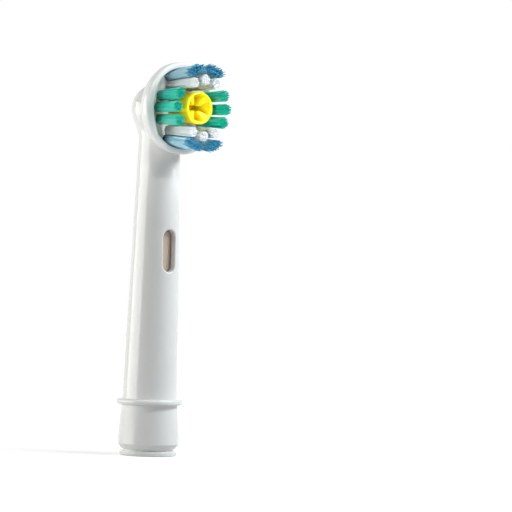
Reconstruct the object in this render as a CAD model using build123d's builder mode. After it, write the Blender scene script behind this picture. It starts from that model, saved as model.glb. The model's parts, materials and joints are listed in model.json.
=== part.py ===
from build123d import *
import os
from math import cos, radians, sin, sqrt, tan

os.makedirs("parts", exist_ok=True)

# Oscillating toothbrush head. +Z is the handle axis, the foot stands on Z = 0
# and the bristles face -Y. All sizes are in millimetres, angles in degrees.

# Foot of the housing and the insert that lines it
lip_radius = 5.45
lip_height = 0.9
lip_edge = 0.2
groove_radius = 5.05
groove_height = 0.4
skirt_rim_radius = 5.15
skirt_chamfer_height = 0.95
skirt_radius = 5.86
skirt_top_radius = 5.33
flange_height = 9.7
flange_radius = 6.33
flange_thickness = 1.0
flange_edge = 0.4
insert_wall = 0.8
handle_socket_radius = 3.7
handle_socket_depth = 11.2
handle_key_width = 1.4
handle_key_depth = 0.45
insert_web = 1.2
insert_hole_radius = 2.6
snap_rib_height = 6.0
snap_rib_reach = 0.3
press_gap = 0.02

# Neck
neck_foot_radius = 5.25
neck_head_radius = 3.8
neck_lean = 0.6
neck_blend = 1.2
neck_seam_angle = 50.0
window_centre = 39.0
window_length = 8.0
window_width = 2.8
window_edge = 0.15
window_wall = 1.1
window_relief = 0.4

# Dome at the top of the neck
head_height = 66.0
dome_radius = 4.8
dome_setback = 0.6

# Round bristle carrier and its axle, measured forward from the handle axis
carrier_radius = 8.7
carrier_thickness = 3.9
carrier_gap = 0.3
bowl_foot_radius = 5.4
bowl_crown = 0.45
rim_reach = 7.4
rim_side = 1.4
rim_width = 1.05
rim_edge = 0.3
disc_recess = 1.2
hub_radius = 2.45
hub_back = 0.8
hub_gap = 0.3
axle_radius = 0.8
axle_gap = 0.04
axle_seat_depth = 3.2
axle_head_radius = 1.5
axle_head_thickness = 0.6
axle_end_play = 0.1

# Drive shaft and crank
collar_radius = 3.6
collar_thickness = 1.2
shaft_end_play = 0.12
shaft_side_gap = 0.15
shaft_foot_radius = 3.35
shaft_socket_top = 45.0
shaft_socket_top_radius = 3.15
rod_radius = 2.3
rod_top_gap = 1.25
bore_top_gap = 0.3
drive_socket_radius = 1.6
drive_pilot_radius = 2.1
drive_pilot_depth = 6.0
drive_socket_depth = 25.0
drive_flat = 1.15
drive_slit_width = 0.7
drive_slit_depth = 7.0
crank_offset = 1.65
crank_depth = 2.0
crank_ball_radius = 0.55
crank_neck_radius = 0.4
crank_root_radius = 0.45
crank_root_length = 4.0
crank_slot_gap = 0.08
crank_end_gap = 0.16
crank_swing = 30.0

# Polishing cup
cup_stem_radius = 1.9
cup_stem_length = 0.9
cup_stem_gap = 0.15
polisher_height = 6.3
polisher_foot_radius = 2.7
polisher_rim_radius = 3.1
polisher_wall = 0.5
polisher_edge = 0.22
polisher_depth = 4.2
polisher_floor_radius = 1.9
vane_count = 4
vane_angle = 44.0
vane_tip_radius = 0.8
vane_top_drop = 0.25
vane_tip_drop = 0.8

# Tufts: each kind has its circle on the disc, its height and how far it fans out
tuft_hole_depth = 2.0
tuft_hole_gap = 0.02
green_rim_gap = 1.6
green_radius = 0.95
green_height = 7.3
green_splay = 6.0
green_pitch = 25.5
white_blue_gap = 0.08
white_radius = 0.92
white_height = 7.9
white_splay = 3.0
white_pitch = 30.0
blue_rim_gap = 0.35
blue_radius = 0.7
blue_height = 8.3
blue_splay = 6.0
blue_angle = 18.5
blue_pitch = 9.5
ridge_count = 14
ridge_depth = 0.12

# Anchor plates that hold the folded tufts in their holes
anchor_bite = 0.16
anchor_thickness = 0.25
anchor_height = 1.2
anchor_lift = 0.4

# Places that follow from the sizes above
skirt_rim_z = lip_height + groove_height
skirt_edge_z = skirt_rim_z + skirt_chamfer_height
flange_top = flange_height + flange_thickness
insert_radius = handle_socket_radius + insert_wall
insert_seat_radius = insert_radius + press_gap
insert_top = handle_socket_depth + insert_web
collar_foot = insert_top + shaft_end_play
collar_top = collar_foot + collar_thickness
chamber_radius = collar_radius + shaft_side_gap
chamber_top = collar_top + shaft_end_play
recess_radius = carrier_radius - rim_width
disc_front = rim_reach - disc_recess
carrier_back = disc_front - carrier_thickness
dome_front = carrier_back - carrier_gap
rim_back = rim_reach - rim_side
cavity_radius = hub_radius + hub_gap
cavity_back = hub_back + hub_gap
rod_top = head_height - hub_radius - rod_top_gap
bore_foot_radius = shaft_foot_radius + shaft_side_gap
bore_waist_radius = shaft_socket_top_radius + shaft_side_gap
bore_waist = shaft_socket_top + bore_top_gap
bore_head_radius = rod_radius + shaft_side_gap
bore_top = head_height - crank_depth - crank_ball_radius + bore_top_gap
crank_ball_z = head_height - crank_depth
axle_head_seat = disc_front - cup_stem_length - cup_stem_gap - axle_head_thickness
counterbore_floor = axle_head_seat - axle_end_play
hole_floor = disc_front - tuft_hole_depth
green_circle = recess_radius - green_rim_gap - green_radius
blue_circle = recess_radius - blue_rim_gap - blue_radius
white_circle = blue_circle - blue_radius - white_blue_gap - white_radius


def neck_share(height):
    """How far up the neck a height lies, from 0 at the flange to 1 at the head."""
    return (height - flange_top) / (head_height - flange_top)


def neck_radius(height):
    return neck_foot_radius + (neck_head_radius - neck_foot_radius) * neck_share(height)


def neck_front(height):
    return neck_radius(height) + neck_lean * neck_share(height)


def face_plane(forward, height=head_height):
    """Plane that faces the bristle side, with X to the right and Z up."""
    return Plane(origin=(0, -forward, height), x_dir=(1, 0, 0), z_dir=(0, -1, 0))


# Profiles turned about the disc axis lie in this plane: forward, then radius
turning_plane = Plane(origin=(0, 0, head_height), x_dir=(0, -1, 0), z_dir=(-1, 0, 0))
disc_axis = Axis((0, 0, head_height), (0, -1, 0))

# Neck housing: one white moulding with the skirt, flange, neck and the dome behind the carrier
with BuildPart() as neck_housing:
    # The neck leans forward a little, and its seam runs beside the window
    seam = radians(neck_seam_angle)
    neck_root = Plane(
        origin=(0, -neck_lean * neck_share(flange_height), flange_height),
        x_dir=(sin(seam), -cos(seam), 0),
        z_dir=(0, -neck_lean, head_height - flange_top),
    )
    with Locations(neck_root):
        Cone(
            neck_radius(flange_height),
            neck_head_radius,
            head_height - flange_height,
            align=(Align.CENTER, Align.CENTER, Align.MIN),
        )
    with BuildSketch(turning_plane):
        with BuildLine():
            dome_back = (-dome_setback - dome_radius, 0)
            dome_crown = (-dome_setback, dome_radius)
            dome_nose = (dome_radius - dome_setback, 0)
            ThreePointArc(dome_back, dome_crown, dome_nose)
            Line(dome_nose, dome_back)
        make_face()
    revolve(axis=disc_axis)

    # Scooped seat round the carrier
    with BuildSketch(turning_plane):
        with BuildLine():
            seat_foot = (dome_front, bowl_foot_radius + carrier_gap)
            seat_edge = (rim_back - carrier_gap, carrier_radius + carrier_gap)
            seat_end = rim_reach + dome_radius
            SagittaArc(seat_foot, seat_edge, bowl_crown)
            Polyline(
                seat_edge,
                (seat_end, carrier_radius + carrier_gap),
                (seat_end, 0),
                (dome_front, 0),
                seat_foot,
            )
        make_face()
    revolve(axis=disc_axis, mode=Mode.SUBTRACT)
    dome_foot = neck_housing.edges().filter_by_position(
        Axis.Z, head_height - dome_radius, head_height - dome_setback
    )
    fillet(dome_foot.filter_by_position(Axis.Y, 0, dome_radius), neck_blend)

    with BuildSketch(Plane.XZ) as foot_profile:
        with BuildLine():
            Polyline(
                (0, skirt_rim_z),
                (skirt_rim_radius, skirt_rim_z),
                (skirt_radius, skirt_edge_z),
                (skirt_top_radius, flange_height),
                (flange_radius, flange_height),
                (flange_radius, flange_top),
                (0, flange_top),
                close=True,
            )
        make_face()
        fillet(foot_profile.vertices().group_by(Axis.X)[-1], flange_edge)
    revolve(axis=Axis.Z)

    # Cavity for the hub of the carrier and the hole for its axle
    with BuildSketch(face_plane(-cavity_back)):
        Circle(cavity_radius)
    extrude(amount=cavity_back + dome_front, mode=Mode.SUBTRACT)
    with BuildSketch(face_plane(-cavity_back - axle_seat_depth)):
        Circle(axle_radius + press_gap)
    extrude(amount=axle_seat_depth, mode=Mode.SUBTRACT)

    # Bore for the insert, the shaft collar and the shaft
    with BuildSketch(Plane.XZ):
        with BuildLine():
            Polyline(
                (0, skirt_rim_z),
                (insert_seat_radius, skirt_rim_z),
                (insert_seat_radius, snap_rib_height - snap_rib_reach),
                (insert_seat_radius + snap_rib_reach, snap_rib_height),
                (insert_seat_radius, snap_rib_height + snap_rib_reach),
                (insert_seat_radius, insert_top),
                (chamber_radius, insert_top),
                (chamber_radius, chamber_top),
                (bore_foot_radius, chamber_top),
                (bore_waist_radius, bore_waist),
                (bore_head_radius, rod_top),
                (bore_head_radius, bore_top),
                (0, bore_top),
                close=True,
            )
        make_face()
    revolve(axis=Axis.Z, mode=Mode.SUBTRACT)

    # Window in the front of the neck, with the wall behind it thinned
    with BuildSketch(face_plane(neck_front(window_centre) - window_wall, window_centre)):
        SlotOverall(
            window_length + 2 * window_relief,
            window_width + 2 * window_relief,
            rotation=90,
        )
    extrude(amount=window_wall - neck_front(window_centre), mode=Mode.SUBTRACT)
    with BuildSketch(face_plane(0, window_centre)):
        SlotOverall(window_length, window_width, rotation=90)
    extrude(amount=flange_radius, mode=Mode.SUBTRACT)
    window_outline = neck_housing.edges(Select.LAST).filter_by_position(
        Axis.Y, -flange_radius, window_wall / 2 - neck_front(window_centre)
    )
    chamfer(window_outline, window_edge)
neck_housing.part.label = "neck_housing"
export_step(neck_housing.part, "parts/neck_housing.step")

# Base insert: the white sleeve pressed into the skirt, which shows as the lip below it
with BuildPart() as base_insert:
    with BuildSketch(Plane.XZ) as insert_profile:
        with BuildLine():
            Polyline(
                (handle_socket_radius, 0),
                (lip_radius, 0),
                (lip_radius, lip_height),
                (groove_radius, lip_height),
                (groove_radius, skirt_rim_z),
                (insert_radius, skirt_rim_z),
                (insert_radius, snap_rib_height - snap_rib_reach),
                (insert_radius + snap_rib_reach, snap_rib_height),
                (insert_radius, snap_rib_height + snap_rib_reach),
                (insert_radius, insert_top),
                (insert_hole_radius, insert_top),
                (insert_hole_radius, handle_socket_depth),
                (handle_socket_radius, handle_socket_depth),
                close=True,
            )
        make_face()
        fillet(insert_profile.vertices().group_by(Axis.X)[-1], lip_edge)
    revolve(axis=Axis.Z)
    with BuildSketch(Plane.XY):
        with Locations((0, handle_socket_radius)):
            Rectangle(handle_key_width, 2 * handle_key_depth)
    extrude(amount=handle_socket_depth, mode=Mode.SUBTRACT)
base_insert.part.label = "base_insert"
export_step(base_insert.part, "parts/base_insert.step")

# Drive shaft: the moulded tube that takes the handle spindle and carries the crank
with BuildPart() as drive_shaft:
    with BuildSketch(Plane.XZ):
        with BuildLine():
            Polyline(
                (0, collar_foot),
                (collar_radius, collar_foot),
                (collar_radius, collar_top),
                (shaft_foot_radius, collar_top),
                (shaft_socket_top_radius, shaft_socket_top),
                (rod_radius, shaft_socket_top),
                (rod_radius, rod_top),
                (0, rod_top),
                close=True,
            )
        make_face()
    revolve(axis=Axis.Z)
    with BuildSketch(Plane.XY.offset(collar_foot)):
        Circle(drive_pilot_radius)
    extrude(amount=drive_pilot_depth, mode=Mode.SUBTRACT)
    with BuildSketch(Plane.XY.offset(collar_foot)):
        Circle(drive_socket_radius)
        with Locations((0, drive_flat)):
            Rectangle(
                2 * drive_socket_radius,
                drive_socket_radius,
                align=(Align.CENTER, Align.MIN),
                mode=Mode.SUBTRACT,
            )
    extrude(amount=drive_socket_depth, mode=Mode.SUBTRACT)
    with BuildSketch(Plane.XY.offset(collar_foot)):
        Rectangle(2 * chamber_radius, drive_slit_width)
    extrude(amount=drive_slit_depth, mode=Mode.SUBTRACT)
    with BuildSketch(Plane.XY.offset(rod_top)):
        with Locations((0, -crank_offset)):
            Circle(crank_root_radius + press_gap)
    extrude(amount=-crank_root_length, mode=Mode.SUBTRACT)
drive_shaft.part.label = "drive_shaft"
export_step(drive_shaft.part, "parts/drive_shaft.step")

# Crank pin: turned steel, pressed into the shaft off its axis, with a ball that swings the disc
with BuildPart() as crank_pin:
    with BuildSketch(Plane.XZ.offset(crank_offset)):
        with BuildLine():
            ball_drop = sqrt(crank_ball_radius**2 - crank_neck_radius**2)
            ball_foot = (crank_neck_radius, crank_ball_z - ball_drop)
            ball_side = (crank_ball_radius, crank_ball_z)
            ball_top = (0, crank_ball_z + crank_ball_radius)
            Polyline(
                ball_top,
                (0, rod_top - crank_root_length),
                (crank_root_radius, rod_top - crank_root_length),
                (crank_root_radius, rod_top),
                (crank_neck_radius, rod_top),
                ball_foot,
            )
            ThreePointArc(ball_foot, ball_side, ball_top)
        make_face()
    revolve(axis=Axis((0, -crank_offset, 0), (0, 0, 1)))
crank_pin.part.label = "crank_pin"
export_step(crank_pin.part, "parts/crank_pin.step")

# Axle pin: headed steel pin pressed into the dome, on which the carrier swings
with BuildPart() as axle_pin:
    with BuildSketch(turning_plane):
        with BuildLine():
            Polyline(
                (press_gap - cavity_back - axle_seat_depth, 0),
                (press_gap - cavity_back - axle_seat_depth, axle_radius),
                (axle_head_seat, axle_radius),
                (axle_head_seat, axle_head_radius),
                (axle_head_seat + axle_head_thickness, axle_head_radius),
                (axle_head_seat + axle_head_thickness, 0),
                close=True,
            )
        make_face()
    revolve(axis=disc_axis)
axle_pin.part.label = "axle_pin"
export_step(axle_pin.part, "parts/axle_pin.step")

# Every tuft: its name, the angles of its bundles on the disc, circle, radius, height and splay
green_places = [side + step * green_pitch for side in (0, 180) for step in (-1, 0, 1)]
white_places = [side + step * white_pitch for side in (90, 270) for step in (-1, 0, 1)]
blue_places = [side + step * blue_angle for side in (90, 270) for step in (-1, 1)]
tufts = []
for number, angle in enumerate(green_places, 1):
    name = f"green_tuft_{number}"
    tufts.append((name, [angle], green_circle, green_radius, green_height, green_splay))
for number, angle in enumerate(white_places, 1):
    name = f"white_tuft_{number}"
    tufts.append((name, [angle], white_circle, white_radius, white_height, white_splay))
for number, angle in enumerate(blue_places, 1):
    name = f"blue_tuft_{number}"
    bundles = [angle + step * blue_pitch for step in (-1, 0, 1)]
    tufts.append((name, bundles, blue_circle, blue_radius, blue_height, blue_splay))


def on_disc(angle, circle):
    return (circle * cos(radians(angle)), circle * sin(radians(angle)))


def root_outline(angles, circle, radius):
    """Round root of a tuft, or an arc-shaped one where it has several bundles."""
    if len(angles) == 1:
        with Locations(on_disc(angles[0], circle)):
            Circle(radius)
    else:
        with BuildLine(mode=Mode.PRIVATE) as middle:
            CenterArc((0, 0), circle, angles[0], angles[-1] - angles[0])
        SlotArc(middle.wires()[0], 2 * radius)


def bundle_outline(angles, circle, radius):
    """Outline of the filaments of a tuft, as a ring of ridges round each bundle."""
    root_outline(angles, circle, radius - ridge_depth)
    ridges = []
    for step in range(ridge_count):
        ridges.append(on_disc(step * 360 / ridge_count, radius))
        ridges.append(on_disc((step + 0.5) * 360 / ridge_count, radius - ridge_depth))
    for angle in angles:
        with PolarLocations(circle, 1, start_angle=angle):
            Polygon(ridges, align=None)


def anchor_outline(angles, circle, radius):
    for angle in angles:
        with Locations(on_disc(angle, circle)):
            Rectangle(anchor_thickness, 2 * (radius + anchor_bite))


# Bristle carrier: the round moulded head with its rim, tuft holes and the hub that the crank swings
with BuildPart() as bristle_carrier:
    with BuildSketch(turning_plane) as carrier_profile:
        with BuildLine():
            bowl_foot = (carrier_back, bowl_foot_radius)
            bowl_edge = (rim_back, carrier_radius)
            SagittaArc(bowl_foot, bowl_edge, bowl_crown)
            Polyline(
                bowl_edge,
                (rim_reach, carrier_radius),
                (rim_reach, recess_radius),
                (disc_front, recess_radius),
                (disc_front, 0),
                (-hub_back, 0),
                (-hub_back, hub_radius),
                (carrier_back, hub_radius),
                bowl_foot,
            )
        make_face()
        fillet(carrier_profile.vertices().group_by(Axis.X)[-1], rim_edge)
    revolve(axis=disc_axis)
    with BuildSketch(face_plane(-hub_back)):
        Circle(axle_radius + axle_gap)
    extrude(amount=hub_back + disc_front, mode=Mode.SUBTRACT)
    with BuildSketch(face_plane(counterbore_floor)):
        Circle(cup_stem_radius + press_gap)
    extrude(amount=disc_front - counterbore_floor, mode=Mode.SUBTRACT)
    slot_back = crank_offset * cos(radians(crank_swing)) - crank_ball_radius - crank_end_gap
    slot_front = crank_offset + crank_ball_radius + crank_end_gap
    slot_top = crank_ball_radius + crank_end_gap - crank_depth
    with BuildSketch(face_plane(slot_back)):
        with Locations((0, slot_top)):
            Rectangle(
                2 * (crank_ball_radius + crank_slot_gap),
                hub_radius,
                align=(Align.CENTER, Align.MAX),
            )
    extrude(amount=slot_front - slot_back, mode=Mode.SUBTRACT)
    with BuildSketch(face_plane(hole_floor)):
        for name, angles, circle, radius, height, splay in tufts:
            root_outline(angles, circle, radius + tuft_hole_gap)
    extrude(amount=tuft_hole_depth, mode=Mode.SUBTRACT)
    with BuildSketch(face_plane(hole_floor + anchor_lift)):
        for name, angles, circle, radius, height, splay in tufts:
            anchor_outline(angles, circle, radius)
    extrude(amount=anchor_height, mode=Mode.SUBTRACT)
bristle_carrier.part.label = "bristle_carrier"
export_step(bristle_carrier.part, "parts/bristle_carrier.step")

# Polishing cup: soft yellow cup with vanes inside, plugged into the middle of the carrier
with BuildPart() as polishing_cup:
    polisher_rim = disc_front + polisher_height
    polisher_floor = polisher_rim - polisher_depth
    polisher_bore = polisher_rim_radius - polisher_wall
    with BuildSketch(turning_plane):
        with BuildLine():
            Polyline(
                (disc_front - cup_stem_length, 0),
                (disc_front - cup_stem_length, cup_stem_radius),
                (disc_front, cup_stem_radius),
                (disc_front, polisher_foot_radius),
                (polisher_rim, polisher_rim_radius),
                (polisher_rim, polisher_bore),
                (polisher_floor, polisher_floor_radius),
                (polisher_floor, 0),
                close=True,
            )
        make_face()
    revolve(axis=disc_axis)
    fillet(polishing_cup.edges().group_by(Axis.Y)[0], polisher_edge)
    for step in range(vane_count):
        turn = radians((step + 0.5) * 360 / vane_count - vane_angle / 2)
        vane_plane = Plane(
            origin=(0, 0, head_height),
            x_dir=(0, -1, 0),
            z_dir=(-sin(turn), 0, cos(turn)),
        )
        with BuildSketch(vane_plane):
            with BuildLine():
                Polyline(
                    (polisher_floor, vane_tip_radius),
                    (polisher_rim - vane_tip_drop, vane_tip_radius),
                    (polisher_rim - vane_top_drop, polisher_bore),
                    (polisher_floor, polisher_floor_radius),
                    close=True,
                )
            make_face()
        revolve(axis=disc_axis, revolution_arc=-vane_angle)
polishing_cup.part.label = "polishing_cup"
export_step(polishing_cup.part, "parts/polishing_cup.step")

# Tufts: a root in its hole and a fluted bundle of filaments that fans out to its cut end
for name, angles, circle, radius, height, splay in tufts:
    flare = 1 + height * tan(radians(splay)) / circle
    with BuildPart() as tuft:
        with BuildSketch(face_plane(disc_front)):
            bundle_outline(angles, circle, radius)
        with BuildSketch(face_plane(disc_front + height)):
            bundle_outline(angles, circle * flare, radius * flare)
        loft(ruled=True)
        with BuildSketch(face_plane(hole_floor)):
            root_outline(angles, circle, radius)
        extrude(amount=tuft_hole_depth)
        with BuildSketch(face_plane(hole_floor + anchor_lift)):
            anchor_outline(angles, circle, radius)
        extrude(amount=anchor_height, mode=Mode.SUBTRACT)
    tuft.part.label = name
    export_step(tuft.part, f"parts/{name}.step")

# Tuft anchors: thin metal plates, one through the fold of each bundle
with BuildPart() as tuft_anchors:
    with BuildSketch(face_plane(hole_floor + anchor_lift)):
        for name, angles, circle, radius, height, splay in tufts:
            anchor_outline(angles, circle, radius)
    extrude(amount=anchor_height)
tuft_anchors.part.label = "tuft_anchors"
export_step(tuft_anchors.part, "parts/tuft_anchors.step")
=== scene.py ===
import bmesh
import bpy
import json
import numpy as np
from math import atan2, cos, pi, radians, sin, tan
from mathutils import Matrix, Vector


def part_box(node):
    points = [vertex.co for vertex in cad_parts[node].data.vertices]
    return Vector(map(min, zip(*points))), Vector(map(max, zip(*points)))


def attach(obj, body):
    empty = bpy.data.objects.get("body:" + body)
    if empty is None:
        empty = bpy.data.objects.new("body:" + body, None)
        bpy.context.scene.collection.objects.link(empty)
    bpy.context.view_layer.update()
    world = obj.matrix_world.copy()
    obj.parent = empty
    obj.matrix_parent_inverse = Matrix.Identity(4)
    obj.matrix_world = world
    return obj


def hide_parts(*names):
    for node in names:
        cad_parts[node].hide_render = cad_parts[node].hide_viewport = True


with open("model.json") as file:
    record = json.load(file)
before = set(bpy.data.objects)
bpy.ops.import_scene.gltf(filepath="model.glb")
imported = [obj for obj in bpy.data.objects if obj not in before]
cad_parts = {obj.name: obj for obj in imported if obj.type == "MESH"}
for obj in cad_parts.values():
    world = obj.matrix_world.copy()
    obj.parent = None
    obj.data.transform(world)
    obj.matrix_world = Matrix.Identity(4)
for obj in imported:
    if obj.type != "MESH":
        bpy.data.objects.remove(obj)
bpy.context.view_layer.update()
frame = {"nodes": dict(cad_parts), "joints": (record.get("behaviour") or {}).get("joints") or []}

# Neck housing: the white outer moulding in hard glossy plastic. A flared skirt and a thin flange
# at the foot run into a slim neck that leans forward and ends in a ball behind the brush.
# The neck has a stadium-shaped window in front, and a scooped seat lets the round carrier swing.
MM = 0.001
around = 160
joints = {joint["name"]: joint for joint in frame["joints"]}
housing_low, housing_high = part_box("neck_housing")
head_z = joints["disc_swing"]["pos_m"][2]
skirt_foot_z = housing_low.z
skirt_foot_radius = 5.15 * MM
skirt_edge_z = skirt_foot_z + 0.95 * MM
skirt_radius = 5.86 * MM
skirt_top_radius = 5.33 * MM
flange_radius = housing_high.x
flange_z = 9.7 * MM
flange_top_z = flange_z + 1.0 * MM
flange_edge = 0.42 * MM
soft_edge = 0.2 * MM
neck_foot_radius = 5.25 * MM
neck_head_radius = 3.8 * MM
neck_lean = 0.6 * MM
neck_blend = 2.2 * MM
head_start_z = 0.85 * head_z
head_climb = 0.15 * head_z
ball_radius = housing_high.z - head_z
ball_setback = 0.6 * MM
seat_face = 2.0 * MM
seat_edge = 0.2 * MM
bowl_back = 2.3 * MM
bowl_foot_radius = 5.4 * MM
bowl_edge_forward = 6.0 * MM
bowl_crown = 0.45 * MM
carrier_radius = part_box("bristle_carrier")[1].x
carrier_gap = 0.42 * MM
window_z = 39.0 * MM
window_length = 8.0 * MM
window_width = 2.8 * MM
window_edge = 0.3 * MM
window_edge_steps = 8
window_cut_depth = 2.6 * MM
window_wall = 1.1 * MM
window_relief = 0.05 * MM
insert_seat_radius = 4.52 * MM
insert_top_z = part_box("base_insert")[1].z
collar_room_radius = 3.75 * MM
collar_room_top_z = 13.84 * MM
neck_bore_radius = 3.5 * MM
waist_bore_radius = 3.58 * MM
waist_bore_z = 45.3 * MM
head_bore_radius = 2.45 * MM
head_bore_z = 62.3 * MM
head_bore_top_z = 63.75 * MM
hub_room_radius = 2.75 * MM
hub_room_back = 1.1 * MM
axle_hole_radius = 0.82 * MM
axle_hole_back = 4.3 * MM


def rounded(corners, steps=6):
    """Outline through corners given as (across, along, corner radius), with arcs at the corners."""
    outline = []
    for i, (across, along, radius) in enumerate(corners):
        here = Vector((across, along))
        if radius == 0:
            outline.append(here)
            continue
        back = (Vector(corners[i - 1][:2]) - here).normalized()
        ahead = (Vector(corners[(i + 1) % len(corners)][:2]) - here).normalized()
        half = back.angle(ahead) / 2
        centre = here + (back + ahead).normalized() * (radius / sin(half))
        first = here + back * (radius / tan(half)) - centre
        last = here + ahead * (radius / tan(half)) - centre
        start = atan2(first.y, first.x)
        turn = (atan2(last.y, last.x) - start + pi) % (2 * pi) - pi
        for k in range(steps + 1):
            angle = start + turn * k / steps
            outline.append(centre + radius * Vector((cos(angle), sin(angle))))
    return outline


def about_handle(radius, along, angle):
    return Vector((radius * cos(angle), radius * sin(angle), along))


def about_disc(radius, along, angle):
    return Vector((radius * cos(angle), -along, head_z + radius * sin(angle)))


def turned(outline, place, sides=around):
    """Rings of an outline (radius, along) that is turned about the handle or the disc axis."""
    rings = []
    for radius, along in outline:
        if radius < 1e-9:
            rings.append([place(0, along, 0)])
        else:
            rings.append([place(radius, along, 2 * pi * k / sides) for k in range(sides)])
    return rings


def skin(name, rings, closed=False):
    """Closed mesh through rings of points. A ring of one point is a pole."""
    mesh = bmesh.new()
    loops = [[mesh.verts.new(point) for point in ring] for ring in rings]
    pairs = list(zip(loops, loops[1:]))
    if closed:
        pairs.append((loops[-1], loops[0]))
    for lower, upper in pairs:
        count = max(len(lower), len(upper))
        for k in range(count):
            corners = [lower[k % len(lower)], lower[(k + 1) % len(lower)]]
            corners += [upper[(k + 1) % len(upper)], upper[k % len(upper)]]
            mesh.faces.new(list(dict.fromkeys(corners)))
    bmesh.ops.recalc_face_normals(mesh, faces=mesh.faces)
    piece = bpy.data.objects.new(name, bpy.data.meshes.new(name))
    mesh.to_mesh(piece.data)
    mesh.free()
    bpy.context.scene.collection.objects.link(piece)
    return piece


def plain_mesh(piece):
    """The mesh of a piece with its modifiers applied, and the modifiers removed."""
    graph = bpy.context.evaluated_depsgraph_get()
    mesh = bpy.data.meshes.new_from_object(
        piece.evaluated_get(graph), preserve_all_data_layers=True, depsgraph=graph
    )
    piece.modifiers.clear()
    piece.data = mesh
    mesh.name = piece.name


def cut(piece, cutters):
    """Cuts the cutters out of a piece one after the other, and removes them."""
    for cutter in cutters:
        knife = piece.modifiers.new("cut", "BOOLEAN")
        knife.operation = "DIFFERENCE"
        knife.solver = "EXACT"
        knife.object = cutter
    plain_mesh(piece)
    for cutter in cutters:
        bpy.data.objects.remove(cutter)


def smooth(piece, crease=35):
    """Shades a piece smooth, with a sharp line where faces meet at more than the crease angle."""
    for face in piece.data.polygons:
        face.use_smooth = True
    piece.data.set_sharp_from_angle(angle=radians(crease))


def stadium(length, width, steps=14):
    """Upright stadium outline, as (across, up) about its middle."""
    straight = (length - width) / 2
    outline = []
    for lift, start in ((straight, 0), (-straight, pi)):
        for k in range(steps + 1):
            angle = start + pi * k / steps
            outline.append((width / 2 * cos(angle), lift + width / 2 * sin(angle)))
    return outline


def neck_share(z):
    return (z - flange_top_z) / (head_z - flange_top_z)


def neck_radius(z):
    return neck_foot_radius + (neck_head_radius - neck_foot_radius) * neck_share(z)


def neck_surface(x, z):
    """How far forward the neck's front lies at a place on it."""
    return np.sqrt(neck_radius(z) ** 2 - x * x) + neck_lean * neck_share(z)


bowl_edge = Vector((bowl_edge_forward, carrier_radius))
bowl_foot = Vector((bowl_back, bowl_foot_radius))
bowl_chord = bowl_edge - bowl_foot
bowl_radius = bowl_chord.length ** 2 / (8 * bowl_crown) + bowl_crown / 2
bowl_inward = Vector((bowl_chord.y, -bowl_chord.x)).normalized()
bowl_centre = (bowl_edge + bowl_foot) / 2 + bowl_inward * (bowl_radius - bowl_crown)


def housing_field(x, y, z):
    """Below zero inside the neck and the ball, which blend where they meet, less the seat."""
    neck = np.hypot(x, y + neck_lean * neck_share(z)) - neck_radius(z)
    neck = np.maximum(neck, z - head_z)
    ball = np.sqrt(x**2 + (y - ball_setback) ** 2 + (z - head_z) ** 2) - ball_radius
    near = np.maximum(neck_blend - np.abs(neck - ball), 0) / neck_blend
    body = np.minimum(neck, ball) - near**2 * neck_blend / 4
    out = np.hypot(-y - bowl_centre.x, np.hypot(x, z - head_z) - bowl_centre.y)
    scoop = np.maximum(seat_face + y, out - bowl_radius - carrier_gap)
    near = np.maximum(seat_edge - np.abs(body + scoop), 0) / seat_edge
    return np.maximum(body, -scoop) + near**2 * seat_edge / 4


def housing_ring(z, steps=46):
    """Ring of the housing's skin at a height, found along rays from the middle of the neck."""
    climb = np.clip((z - head_start_z) / head_climb, 0, 1)
    climb = climb * climb * (3 - 2 * climb)
    middle = -neck_lean * neck_share(z) * (1 - climb) + ball_setback * climb
    angles = 2 * pi * np.arange(around) / around
    low = np.zeros(around)
    high = np.full(around, 1.5 * neck_foot_radius)
    for _ in range(steps):
        half = (low + high) / 2
        inside = housing_field(half * np.cos(angles), middle + half * np.sin(angles), z) < 0
        low = np.where(inside, half, low)
        high = np.where(inside, high, half)
    return [Vector((r * cos(a), middle + r * sin(a), z)) for r, a in zip(high, angles)]


foot_corners = [
    (0, skirt_foot_z, 0),
    (skirt_foot_radius, skirt_foot_z, soft_edge / 2),
    (skirt_radius, skirt_edge_z, soft_edge),
    (skirt_top_radius, flange_z, soft_edge / 2),
    (flange_radius, flange_z, flange_edge),
    (flange_radius, flange_top_z, flange_edge),
    (neck_foot_radius, flange_top_z, soft_edge),
    (neck_radius(flange_top_z + MM), flange_top_z + MM, 0),
]
neck_heights = np.linspace(flange_top_z + 2 * MM, head_start_z, 46)
head_heights = np.linspace(head_start_z, head_z, 56)[1:]
crown_heights = head_z + ball_radius * np.sin(np.linspace(0, pi / 2, 32)[1:-1])
rings = turned(rounded(foot_corners), about_handle)
rings += [housing_ring(z) for z in (*neck_heights, *head_heights, *crown_heights)]
rings.append([Vector((0, ball_setback, housing_high.z))])
neck_housing = skin("neck_housing_shell", rings)

bore = [
    (0, skirt_foot_z - MM),
    (insert_seat_radius, skirt_foot_z - MM),
    (insert_seat_radius, insert_top_z),
    (collar_room_radius, insert_top_z),
    (collar_room_radius, collar_room_top_z),
    (neck_bore_radius, collar_room_top_z),
    (waist_bore_radius, waist_bore_z),
    (head_bore_radius, head_bore_z),
    (head_bore_radius, head_bore_top_z),
    (0, head_bore_top_z),
]
hub_room = [
    (0, -axle_hole_back),
    (axle_hole_radius, -axle_hole_back),
    (axle_hole_radius, -hub_room_back),
    (hub_room_radius, -hub_room_back),
    (hub_room_radius, seat_face + MM),
    (0, seat_face + MM),
]


def window_ring(grow, sink):
    """Ring round the window, widened by one amount and sunk below the neck's skin by another."""
    outline = stadium(window_length + 2 * grow, window_width + 2 * grow)
    return [Vector((x, sink - neck_surface(x, window_z + z), window_z + z)) for x, z in outline]


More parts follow.
